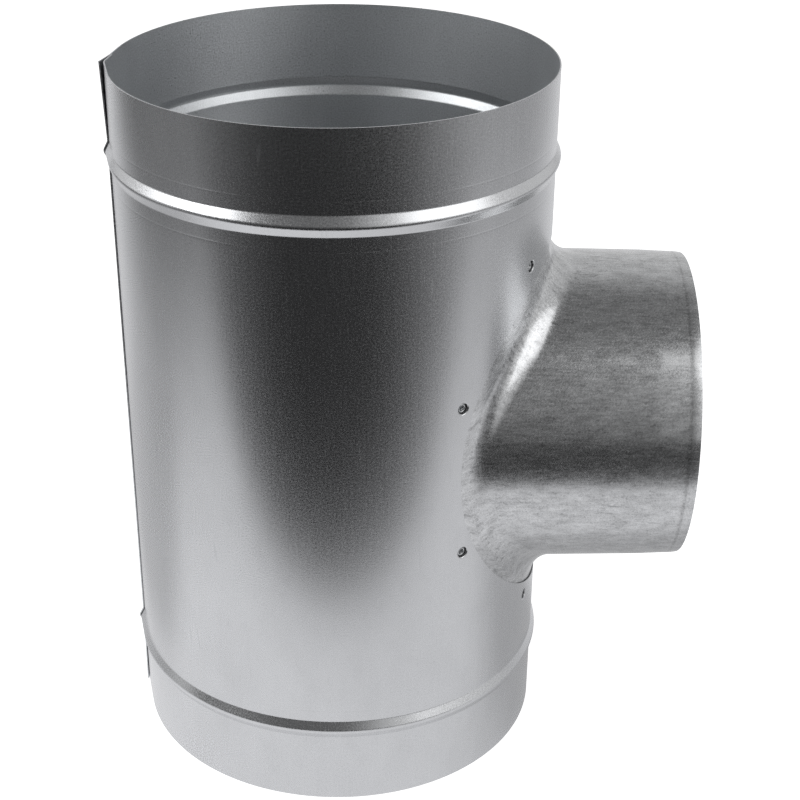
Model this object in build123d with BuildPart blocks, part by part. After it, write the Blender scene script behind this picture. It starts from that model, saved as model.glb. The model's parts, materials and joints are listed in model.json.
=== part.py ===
from build123d import *
from math import acos, cos, degrees, hypot, pi, radians, sin, tan
import os

# Reducing duct tee in thin galvanised sheet. A round duct stands on its lower rim, with its axis
# on Z, and a smaller outlet leaves it halfway up, along +X. The duct is one rolled sheet, lapped
# on itself at the side opposite the outlet. The outlet is one pressed sheet, whose saddle flange
# lies inside the duct's wall and is riveted to it.

# Duct: outside size of its plain ends, height and sheet
duct_diameter = 199.0
duct_height = 332.0
duct_sheet = 0.6

# Beads rolled outward near each end
bead_setback = 40.6
bead_width = 9.2
bead_height = 2.4
bead_crest_radius = 2.4
bead_foot_radius = 1.6

# Lapped seam opposite the outlet: the sheet's outer end runs on flat and stands a little proud
seam_angle = 183.0
outer_flat_angle = 12.2
lap_width = 12.0
lap_gap = 0.15
lap_bend_radius = 15.0
lap_flare_top = 1.3
lap_flare_bottom = 0.3

# Spot welds that hold the lap, between the beads
weld_radius = 1.6
weld_count = 8
weld_bead_gap = 10.8

# Outlet: outside size at its rim, reach from the duct's axis, height of its axis, sheet and draft
outlet_diameter = 145.4
outlet_reach = 164.0
outlet_height = 164.2
outlet_sheet = 0.7
outlet_draft = 1.48
outlet_root_radius = 15.0
lead_in_length = 3.2
lead_in_depth = 0.35

# Oval cut-out in the duct's wall: how far it clears the outlet's root bend at its sides and at
# its top, and how far its centre lies above the outlet's axis. The flange reaches past it by the lap.
cutout_side_margin = 4.3
cutout_top_margin = 1.2
cutout_rise = 2.3
flange_lap = 17.0
flange_clearance = 0.1
oval_points = 24

# Hollow rivets round the cut-out: how far round the oval each stands, from the highest down, and
# how far outside its edge. The highest stands further out than the rest.
rivet_angles = (60.0, 20.0, -23.0, -67.0)
rivet_margin = 6.5
top_rivet_margin = 10.0
rivet_mouth_radius = 2.65
rivet_waist_radius = 1.9
rivet_lip_thickness = 0.3
rivet_shank_radius = 1.7
rivet_bore_radius = 1.05
rivet_ledge = 0.4
rivet_head_radius = 3.0
rivet_head_thickness = 0.55
rivet_clearance = 0.08
hole_overrun = 0.5

# What follows from those sizes
duct_radius = duct_diameter / 2
outlet_radius = outlet_diameter / 2
flange_radius = duct_radius - duct_sheet - flange_clearance
lap_step = duct_sheet + lap_gap
weld_end_margin = bead_setback + bead_width / 2 + weld_bead_gap
draft_slope = tan(radians(outlet_draft))
dimple_slope = (rivet_mouth_radius - rivet_waist_radius) / duct_sheet
clear_reach = duct_radius + outlet_reach

# The outlet's radius at the duct's axis, the turns at its root, and how far the root bend reaches
outlet_axis_radius = outlet_radius + draft_slope * outlet_reach
outlet_top_radius = outlet_axis_radius - draft_slope * duct_radius
top_turn = pi / 2 - radians(outlet_draft)
side_turn = acos(outlet_axis_radius * cos(radians(outlet_draft)) / duct_radius)
side_reach = duct_radius * (top_turn - side_turn) + outlet_root_radius * tan(side_turn / 2)
top_reach = outlet_top_radius + outlet_root_radius * tan(top_turn / 2)
cutout_half_width = side_reach + cutout_side_margin
cutout_half_height = top_reach + cutout_top_margin
cutout_height = outlet_height + cutout_rise
os.makedirs("parts", exist_ok=True)


def upright_plane(distance, azimuth, slide=0.0):
    """A plane across the duct's sheet, with its X outward and its Y up.

    Its origin lies at that distance from the duct's axis in the direction of the azimuth, then
    slides along the sheet, back towards smaller azimuths.
    """
    turn = radians(azimuth)
    outward = Vector(cos(turn), sin(turn), 0)
    back = Vector(sin(turn), -cos(turn), 0)
    return Plane(origin=outward * distance + back * slide, x_dir=outward, z_dir=back)


def bead_corners(crest_height):
    """The corners of one bead's outline, from its lower foot to its upper foot."""
    lower_foot = (0, crest_height - bead_width / 2)
    crest = (bead_height, crest_height)
    upper_foot = (0, crest_height + bead_width / 2)
    return [lower_foot, crest, upper_foot]


def sheet_section(plane, flare_top=0.0, flare_bottom=0.0):
    """The duct sheet's section from rim to rim, with its outside face on the plane's Y axis."""
    lower_bead = bead_corners(bead_setback)
    upper_bead = bead_corners(duct_height - bead_setback)
    corners = [(flare_bottom, 0), *lower_bead, *upper_bead, (flare_top, duct_height)]
    corner_radii = [bead_foot_radius, bead_crest_radius, bead_foot_radius] * 2
    with BuildSketch(plane) as section:
        with BuildLine():
            FilletPolyline(*corners, radius=corner_radii)
            offset(amount=duct_sheet, side=Side.LEFT, closed=True)
        make_face()
    return section.sketch


def oval_outline(half_width, half_height):
    """An oval on the rolled wall, as it is seen along the outlet's axis."""
    points = []
    for step in range(oval_points):
        turn = 2 * pi * step / oval_points
        wrap = half_width * cos(turn) / duct_radius
        points.append((duct_radius * sin(wrap), half_height * sin(turn)))
    with BuildSketch(Plane(origin=(0, 0, cutout_height), x_dir=(0, 1, 0), z_dir=(1, 0, 0))) as outline:
        with BuildLine():
            Spline(*points, periodic=True)
        make_face()
    return outline.sketch


def rivet_planes():
    """A plane on the duct's outside at each rivet, with its Z outward."""
    planes = []
    for side in (-1, 1):
        for round_angle in rivet_angles:
            margin = top_rivet_margin if round_angle == max(rivet_angles) else rivet_margin
            across = cos(radians(round_angle))
            upward = sin(radians(round_angle))
            oval_reach = 1 / hypot(across / cutout_half_width, upward / cutout_half_height)
            wrap = side * (oval_reach + margin) * across / duct_radius
            rise = cutout_height + (oval_reach + margin) * upward
            outward = Vector(cos(wrap), sin(wrap), 0)
            foot = outward * duct_radius + Vector(0, 0, rise)
            planes.append(Plane(origin=foot, x_dir=(0, 0, 1), z_dir=outward))
    return planes


def saddle_skin(inset):
    """The outlet and the curved saddle as one full body, drawn in by a distance across the sheet."""
    shoulder = outlet_reach - lead_in_length
    profile = [
        (0, 0),
        (0, outlet_axis_radius - inset),
        (shoulder, outlet_axis_radius - draft_slope * shoulder - inset),
        (outlet_reach, outlet_radius - lead_in_depth - inset),
        (outlet_reach, 0),
    ]
    with BuildPart() as skin:
        with Locations((0, 0, cutout_height)):
            Cylinder(flange_radius - inset, 2 * clear_reach, rotation=(0, 0, 180))
        with BuildSketch(Plane(origin=(0, 0, outlet_height), x_dir=(1, 0, 0), z_dir=(0, 1, 0))):
            with BuildLine():
                Polyline(*profile, close=True)
            make_face()
        revolve(axis=Axis((0, 0, outlet_height), (1, 0, 0)))
        fillet(skin.edges().filter_by(GeomType.BSPLINE), outlet_root_radius + inset)
    return skin.part


# Where the duct sheet's flats, bend and lap begin and end
back_tangent = seam_angle - outer_flat_angle
inner_corner_radius = (duct_radius - lap_step) / cos(radians(outer_flat_angle))
inner_flat_angle = degrees(acos(duct_radius / inner_corner_radius))
front_tangent = seam_angle + inner_flat_angle
bend_angle = outer_flat_angle + inner_flat_angle
bend_tangent = lap_bend_radius * tan(radians(bend_angle / 2))
inner_flat = duct_radius * tan(radians(inner_flat_angle)) - bend_tangent
outer_flat = duct_radius * tan(radians(outer_flat_angle))
inner_lap_line = (duct_radius - lap_step) * tan(radians(outer_flat_angle))
lap_start = outer_flat - lap_width

# Duct: the round of the sheet, its two flat ends, the lap and the holes
with BuildPart() as body_tube:
    round_start = upright_plane(duct_radius, front_tangent)
    revolve(sheet_section(round_start), axis=Axis.Z, revolution_arc=360 + back_tangent - front_tangent)

    # The inner end runs on flat, bends at the seam and goes under the lap
    extrude(sheet_section(round_start), amount=inner_flat)
    bend_start = upright_plane(duct_radius, front_tangent, inner_flat)
    bend_centre = bend_start.origin - bend_start.x_dir * lap_bend_radius
    revolve(sheet_section(bend_start), axis=Axis(bend_centre, (0, 0, -1)), revolution_arc=bend_angle)
    under_lap = upright_plane(duct_radius - lap_step, back_tangent, bend_tangent - inner_lap_line)
    extrude(sheet_section(under_lap), amount=lap_width - bend_tangent)

    # The outer end runs on flat over it, and opens a little at the rims
    extrude(sheet_section(upright_plane(duct_radius, back_tangent)), amount=-lap_start)
    lap_root = sheet_section(upright_plane(duct_radius, back_tangent, -lap_start))
    lap_edge_plane = upright_plane(duct_radius, back_tangent, -outer_flat)
    lap_edge = sheet_section(lap_edge_plane, lap_flare_top, lap_flare_bottom)
    loft([lap_root, lap_edge], ruled=True)

    # Both rims are cut off level
    Cylinder(
        clear_reach,
        duct_height,
        align=(Align.CENTER, Align.CENTER, Align.MIN),
        mode=Mode.INTERSECT,
    )

    # Spot welds between the two layers
    weld_depth = duct_radius - lap_step - duct_sheet / 2
    weld_line = upright_plane(weld_depth, back_tangent, lap_width / 2 - outer_flat)
    weld_pitch = (duct_height - 2 * weld_end_margin) / (weld_count - 1)
    for row in range(weld_count):
        weld_centre = weld_line.origin + Vector(0, 0, weld_end_margin + row * weld_pitch)
        with BuildSketch(Plane(origin=weld_centre, x_dir=(0, 0, 1), z_dir=weld_line.x_dir)):
            Circle(weld_radius)
        extrude(amount=lap_step)

    # Cut-out for the outlet, and dimpled holes for the rivets
    cutout_outline = oval_outline(cutout_half_width, cutout_half_height)
    extrude(cutout_outline, amount=clear_reach, mode=Mode.SUBTRACT)
    hole_depth = duct_sheet + hole_overrun
    with Locations(*[Location(plane.offset(-hole_depth)) for plane in rivet_planes()]):
        Cone(
            rivet_mouth_radius - dimple_slope * hole_depth,
            rivet_mouth_radius + dimple_slope * hole_overrun,
            hole_depth + hole_overrun,
            align=(Align.CENTER, Align.CENTER, Align.MIN),
            mode=Mode.SUBTRACT,
        )

# Outlet: a pressed saddle collar of even sheet, trimmed to its flange, with holes for the rivets
collar_core = saddle_skin(outlet_sheet)
with BuildPart() as branch_collar:
    add(saddle_skin(0))
    add(collar_core, mode=Mode.SUBTRACT)
    flange_outline = oval_outline(cutout_half_width + flange_lap, cutout_half_height + flange_lap)
    extrude(flange_outline, amount=clear_reach, mode=Mode.INTERSECT)
    shank_hole_depth = duct_radius - flange_radius + outlet_sheet + hole_overrun
    with Locations(*[Location(plane) for plane in rivet_planes()]):
        Cylinder(rivet_shank_radius + rivet_clearance, 2 * shank_hole_depth, mode=Mode.SUBTRACT)

# Rivets: hollow, with a head inside and a lip spread into the dimple
lip_top = -rivet_clearance
dimple_width = rivet_clearance * hypot(1, dimple_slope)
lip_width = rivet_lip_thickness * hypot(1, dimple_slope)
lip_outer = rivet_mouth_radius + dimple_slope * lip_top - dimple_width
lip_foot = (rivet_shank_radius - rivet_mouth_radius + dimple_width) / dimple_slope
ledge_radius = rivet_bore_radius + rivet_ledge
ledge_depth = lip_top - (lip_outer - lip_width - ledge_radius) / dimple_slope
head_top = flange_radius - outlet_sheet - rivet_clearance - duct_radius
head_bottom = head_top - rivet_head_thickness
rivet_profile = [
    (rivet_bore_radius, ledge_depth),
    (ledge_radius, ledge_depth),
    (lip_outer - lip_width, lip_top),
    (lip_outer, lip_top),
    (rivet_shank_radius, lip_foot),
    (rivet_shank_radius, head_top),
    (rivet_head_radius, head_top),
    (rivet_head_radius, head_bottom),
    (rivet_bore_radius, head_bottom),
]
with BuildPart() as collar_rivets:
    for plane in rivet_planes():
        with BuildSketch(Plane(origin=plane.origin, x_dir=plane.x_dir, z_dir=-plane.y_dir)):
            with BuildLine():
                Polyline(*rivet_profile, close=True)
            make_face()
        revolve(axis=Axis(plane.origin, plane.z_dir))

body_tube.part.label = "body_tube"
branch_collar.part.label = "branch_collar"
collar_rivets.part.label = "collar_rivets"
export_step(body_tube.part, "parts/body_tube.step")
export_step(branch_collar.part, "parts/branch_collar.step")
export_step(collar_rivets.part, "parts/collar_rivets.step")
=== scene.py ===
"""Looks of the reducing duct tee: bright galvanised sheet, rolled, pressed and riveted.

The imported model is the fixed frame. Each piece is a class that holds its sizes in millimetres and
builds a fine mesh of its sheet, which stands for the plain solid of the same piece.
"""
import json
import logging
import math
from collections.abc import Callable, Sequence
from dataclasses import dataclass
from enum import Enum

import bpy
import numpy as np
from mathutils import Matrix, Vector
from mathutils.geometry import delaunay_2d_cdt


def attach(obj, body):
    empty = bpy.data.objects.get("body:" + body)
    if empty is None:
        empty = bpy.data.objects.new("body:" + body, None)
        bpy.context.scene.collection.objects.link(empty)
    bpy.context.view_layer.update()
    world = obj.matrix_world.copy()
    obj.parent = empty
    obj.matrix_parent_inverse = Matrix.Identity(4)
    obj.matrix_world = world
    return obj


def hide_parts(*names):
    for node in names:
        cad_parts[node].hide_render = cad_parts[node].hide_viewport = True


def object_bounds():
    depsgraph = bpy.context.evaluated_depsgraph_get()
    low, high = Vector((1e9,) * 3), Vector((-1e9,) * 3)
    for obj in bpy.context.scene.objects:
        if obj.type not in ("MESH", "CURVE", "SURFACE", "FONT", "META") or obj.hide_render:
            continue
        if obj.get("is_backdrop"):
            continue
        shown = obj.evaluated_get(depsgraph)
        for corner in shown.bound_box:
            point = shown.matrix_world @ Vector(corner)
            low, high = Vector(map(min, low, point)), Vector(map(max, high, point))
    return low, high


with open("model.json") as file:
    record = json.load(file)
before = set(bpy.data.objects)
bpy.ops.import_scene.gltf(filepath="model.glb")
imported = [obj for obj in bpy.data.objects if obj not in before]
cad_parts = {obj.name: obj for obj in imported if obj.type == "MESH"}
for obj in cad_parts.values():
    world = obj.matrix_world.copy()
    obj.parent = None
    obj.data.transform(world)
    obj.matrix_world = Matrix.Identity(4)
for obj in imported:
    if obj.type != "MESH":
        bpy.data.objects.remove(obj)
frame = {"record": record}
cad_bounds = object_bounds()

MM = 0.001
IMAGE_PIXELS = 800.0
PLACE_ATTRIBUTE = "sheet_place"
ZONE_ATTRIBUTE = "sheet_zone"
SIDE_ATTRIBUTE = "sheet_side"
SHARP_ANGLE = math.radians(35.0)
SLOPE_STEP = 0.02
MERGE_DISTANCE = 1e-7
log = logging.getLogger("duct_tee")

Surface = Callable[[np.ndarray, np.ndarray], np.ndarray]
Face = tuple[int, ...]
Socket = bpy.types.NodeSocket


class Slot(Enum):
    """Material slots of the record."""

    ROLLED = "rolled_sheet"
    PRESSED = "pressed_sheet"
    RIVET = "rivet_steel"


class Zone(Enum):
    """Marks on the zone attribute, which rises by one along the root bend, the cone and the lead-in."""

    # This mark shows where the finish paints shade: on the rivet holes' drawn walls, and on the opening's
    # cut edge with its darker cut steel.
    SHADED_RECESS = -1.0
    FLANGE = 0.0
    SHOULDER = 2.0


def mount(name: str) -> dict:
    """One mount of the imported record.

    Args:
        name: The mount's name.

    Returns:
        Its entry in the record.
    """
    return next(entry for entry in frame["record"]["mounts"] if entry["name"] == name)


def new_object(name: str, data: bpy.types.ID) -> bpy.types.Object:
    """A new object of the scene."""
    made = bpy.data.objects.new(name, data)
    bpy.context.scene.collection.objects.link(made)
    return made


def smooth_step(value: np.ndarray, low: float, high: float) -> np.ndarray:
    """A soft step from 0 at low to 1 at high."""
    share = np.clip((value - low) / (high - low), 0.0, 1.0)
    return share * share * (3.0 - 2.0 * share)


def surface_normals(surface: Surface, first: np.ndarray, second: np.ndarray) -> np.ndarray:
    """Unit normals of a surface, on the side from which its two directions turn anticlockwise.

    Args:
        surface: Gives points for two arrays of surface coordinates.
        first: First coordinate of each point.
        second: Second coordinate of each point.

    Returns:
        One normal a row.
    """
    along = surface(first + SLOPE_STEP, second) - surface(first - SLOPE_STEP, second)
    across = surface(first, second + SLOPE_STEP) - surface(first, second - SLOPE_STEP)
    normals = np.cross(along, across)
    return normals / np.linalg.norm(normals, axis=1, keepdims=True)


def triangulate(points: np.ndarray, outline: list[int], holes: list[list[int]]) -> list[Face]:
    """Fills the space between an outline and round holes with triangles.

    Args:
        points: Flat points, one a row.
        outline: Indices of the points round the outside.
        holes: Indices of the points round each hole, all of them bulging outward.

    Returns:
        Triangles as indices of the points.
    """
    edges = []
    for loop in [outline, *holes]:
        edges += list(zip(loop, loop[1:] + loop[:1]))
    flat = [Vector((float(x), float(y))) for x, y in points]
    _, _, faces, originals, _, _ = delaunay_2d_cdt(flat, edges, [], 0, MERGE_DISTANCE)
    hole_of = {index: number for number, hole in enumerate(holes) for index in hole}
    kept = []
    for face in faces:
        corners = tuple(originals[corner][0] for corner in face)
        owners = {hole_of.get(corner, -1) for corner in corners}
        if -1 in owners or len(owners) > 1:
            kept.append(corners)
    return kept


def ring(centre: tuple[float, float], radius: float, count: int) -> np.ndarray:
    """Points round a circle in the flat sheet, anticlockwise."""
    turns = np.arange(count) * math.tau / count
    return np.column_stack([centre[0] + radius * np.cos(turns), centre[1] + radius * np.sin(turns)])


def band(first: np.ndarray, second: np.ndarray) -> list[Face]:
    """Quads between two closed rings of points, given by their indices."""
    quads = zip(first, np.roll(first, -1), np.roll(second, -1), second)
    return [tuple(int(corner) for corner in quad) for quad in quads]


@dataclass
class Waves:
    """Slight unevenness of a sheet: a sum of long waves that never goes below the true surface.

    Attributes:
        seed: Start of the random draws.
        height: Highest stand of the waves over the true surface.
        shortest: Shortest wavelength.
        longest: Longest wavelength.
        stretch: How much longer the waves are in the second direction.
        count: How many waves there are.
    """

    seed: int
    height: float
    shortest: float
    longest: float
    stretch: float = 1.0
    count: int = 10

    def __post_init__(self) -> None:
        """Draws the waves."""
        draws = np.random.default_rng(self.seed)
        self.lengths = self.shortest * (self.longest / self.shortest) ** draws.random(self.count)
        self.turns = draws.random(self.count) * math.tau
        self.phases = draws.random(self.count) * math.tau
        self.shares = self.lengths / self.lengths.sum()

    def rise(self, first: np.ndarray, second: np.ndarray) -> np.ndarray:
        """Stand of the sheet over its true surface at each place."""
        total = np.zeros(np.shape(first))
        for length, turn, phase, share in zip(self.lengths, self.turns, self.phases, self.shares):
            travel = first * math.cos(turn) + second * math.sin(turn) / self.stretch
            total = total + share * np.sin(travel * math.tau / length + phase)
        return self.height * (total + 1.0) / 2.0


class SheetMaker:
    """Makes a sheet-metal object from the outside of its sheet."""

    def __init__(self, name: str, sheet: float) -> None:
        """Starts an empty sheet.

        Args:
            name: Name of the finished piece.
            sheet: Thickness.
        """
        self.name = name
        self.sheet = sheet
        self.outside = np.zeros((0, 3))
        self.inside = np.zeros((0, 3))
        self.normals = np.zeros((0, 3))
        self.inside_normals = np.zeros((0, 3))
        self.places = np.zeros((0, 3))
        self.zones = np.zeros(0)
        self.inside_zones = np.zeros(0)
        self.faces: list[Face] = []
        self.formed_faces: list[Face] = []

    def add_points(
        self,
        outside: np.ndarray,
        normals: np.ndarray,
        places: np.ndarray,
        zones: np.ndarray,
    ) -> np.ndarray:
        """Adds points of the outside, with the inside straight below them.

        Args:
            outside: Points, one a row.
            normals: Their normals.
            places: Where they lie in the sheet's own space, two or three values a row.
            zones: What part of the piece they belong to.

        Returns:
            Their indices.
        """
        first = len(self.outside)
        flat = np.zeros((len(places), 3))
        flat[:, :places.shape[1]] = places
        self.outside = np.vstack([self.outside, outside])
        self.inside = np.vstack([self.inside, outside - normals * self.sheet])
        self.normals = np.vstack([self.normals, normals])
        self.inside_normals = np.vstack([self.inside_normals, -normals])
        self.places = np.vstack([self.places, flat])
        self.zones = np.concatenate([self.zones, zones])
        self.inside_zones = np.concatenate([self.inside_zones, zones])
        return np.arange(first, len(self.outside))

    def fill(
        self,
        flat: np.ndarray,
        used: np.ndarray,
        outline: Sequence[int],
        holes: list[np.ndarray],
    ) -> None:
        """Fills the space between an outline and holes with triangles.

        Args:
            flat: Flat places of the points used, one a row.
            used: Indices of these points.
            outline: Indices round the outside.
            holes: Indices round each hole.
        """
        local = {int(number): place for place, number in enumerate(used)}
        outer, *inner = [[local[int(number)] for number in loop] for loop in (outline, *holes)]
        for face in triangulate(flat, outer, inner):
            self.faces.append(tuple(int(used[corner]) for corner in face))

    def cut_edges(self) -> list[Face]:
        """The quads of the cut edges, between the outside and the inside."""
        count = len(self.outside)
        directed = set()
        for face in self.faces + self.formed_faces:
            directed.update(zip(face, face[1:] + face[:1]))
        return [(b, a, a + count, b + count) for a, b in sorted(directed) if (b, a) not in directed]

    def build(self) -> bpy.types.Object:
        """Joins the outside, the inside and the cut edges in one closed mesh.

        Returns:
            The finished object, in metres.
        """
        count = len(self.outside)
        under = [tuple(corner + count for corner in reversed(face)) for face in self.faces]
        formed_under = [tuple(corner + count for corner in reversed(face)) for face in self.formed_faces]
        own_shade = self.formed_faces + formed_under + self.cut_edges()
        mesh = bpy.data.meshes.new(self.name)
        points = np.vstack([self.outside, self.inside]) * MM
        mesh.from_pydata(points.tolist(), [], self.faces + under + own_shade)
        for label, kind, value_name, values in (
            (PLACE_ATTRIBUTE, "FLOAT_VECTOR", "vector", np.tile(self.places * MM, (2, 1)).ravel()),
            (ZONE_ATTRIBUTE, "FLOAT", "value", np.concatenate([self.zones, self.inside_zones])),
            (SIDE_ATTRIBUTE, "FLOAT", "value", np.repeat((0.0, 1.0), count)),
        ):
            mesh.attributes.new(label, kind, "POINT").data.foreach_set(value_name, values)
        mesh.shade_smooth()
        mesh.set_sharp_from_angle(angle=SHARP_ANGLE)
        corners = np.zeros(len(mesh.loops), dtype=int)
        mesh.loops.foreach_get("vertex_index", corners)
        vertex_normals = np.vstack([self.normals, self.inside_normals])
        corner_normals = vertex_normals[corners]
        corner_normals[len(corners) - sum(len(face) for face in own_shade):] = 0.0
        mesh.normals_split_custom_set(corner_normals.tolist())
        return new_object(self.name, mesh)


@dataclass(frozen=True)
class Bead:
    """A bead rolled outward round the duct.

    Attributes:
        crest: Height of its crest above the lower rim.
        width: Width between its slopes where they meet the wall.
        stand: Height over the wall of those slopes' meeting place.
        crest_radius: Radius of its round crest.
        foot_radius: Radius of its round feet.
        crest_rows: Number of mesh rows on each half of the crest, ends included.
        slope_rows: The same for each slope and each foot.
    """

    crest: float
    width: float = 9.2
    stand: float = 2.4
    crest_radius: float = 2.4
    foot_radius: float = 1.6
    crest_rows: int = 5
    slope_rows: int = 4

    @property
    def tilt(self) -> float:
        """Tilt of its two slopes."""
        return math.atan2(self.stand, self.width / 2)

    @property
    def crest_span(self) -> float:
        """Reach of the round crest to either side."""
        return self.crest_radius * math.sin(self.tilt)

    @property
    def foot_end(self) -> float:
        """Where the round foot meets the plain wall."""
        return self.width / 2 + self.foot_radius * math.tan(self.tilt / 2)

    @property
    def foot_start(self) -> float:
        """Where the slope meets the round foot."""
        return self.foot_end - self.foot_radius * math.sin(self.tilt)

    def offset(self, height: np.ndarray) -> np.ndarray:
        """Stand of the bead over the plain wall at each height."""
        gap = np.abs(height - self.crest)
        peak = self.stand - self.crest_radius / math.cos(self.tilt)
        crest = peak + np.sqrt(np.maximum(self.crest_radius**2 - gap**2, 0.0))
        slope = self.stand * (1.0 - gap / (self.width / 2))
        foot_drop = np.maximum(self.foot_radius**2 - (self.foot_end - gap) ** 2, 0.0)
        foot = self.foot_radius - np.sqrt(foot_drop)
        offset = np.where(gap < self.crest_span, crest, slope)
        offset = np.where(gap > self.foot_start, foot, offset)
        return np.where(gap > self.foot_end, 0.0, offset)

    def rows(self) -> list[float]:
        """Heights at which the mesh follows the bead."""
        gaps = [
            *np.linspace(0.0, self.crest_span, self.crest_rows),
            *np.linspace(self.crest_span, self.foot_start, self.slope_rows)[1:],
            *np.linspace(self.foot_start, self.foot_end, self.slope_rows)[1:],
        ]
        return [self.crest + side * gap for gap in gaps for side in (-1, 1)]


@dataclass(frozen=True)
class CutOut:
    """The oval opening in the duct's wall and the rivets round it, in the flat sheet.

    Attributes:
        half_width: Half its width along the rolled sheet.
        half_height: Half its height.
        height: Height of its centre.
        rivet_angles: Angles of the rivets on one side, seen from the centre.
        rivet_margin: How far outside the opening they sit.
        top_rivet_margin: The same for the highest ones.
    """

    half_width: float = 95.0
    half_height: float = 90.2
    height: float = 166.5
    rivet_angles: tuple[float, ...] = (60.0, 20.0, -23.0, -67.0)
    rivet_margin: float = 6.5
    top_rivet_margin: float = 10.0

    def oval(self, count: int) -> np.ndarray:
        """Points round the opening in the flat sheet, anticlockwise."""
        turns = np.arange(count) * math.tau / count
        high = self.height + self.half_height * np.sin(turns)
        return np.column_stack([self.half_width * np.cos(turns), high])

    def reach(self, wide: np.ndarray, high: np.ndarray) -> np.ndarray:
        """Share of the way from the centre to the opening's edge, 1 on the edge itself."""
        return np.hypot(wide / self.half_width, (high - self.height) / self.half_height)

    def rivet_centres(self) -> list[tuple[float, float]]:
        """Centres of the rivets in the flat sheet."""
        centres = []
        for side in (-1, 1):
            for angle in self.rivet_angles:
                highest = angle == max(self.rivet_angles)
                margin = self.top_rivet_margin if highest else self.rivet_margin
                across = math.cos(math.radians(angle))
                upward = math.sin(math.radians(angle))
                edge = 1 / math.hypot(across / self.half_width, upward / self.half_height)
                centres.append((side * (edge + margin) * across, self.height + (edge + margin) * upward))
        return centres

    def clear_of_rivets(self, wide: np.ndarray, high: np.ndarray, radius: float) -> np.ndarray:
        """Which places lie farther than a radius from every rivet's centre."""
        gaps = [np.hypot(wide - x, high - y) for x, y in self.rivet_centres()]
        return np.min(gaps, axis=0) > radius


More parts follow.
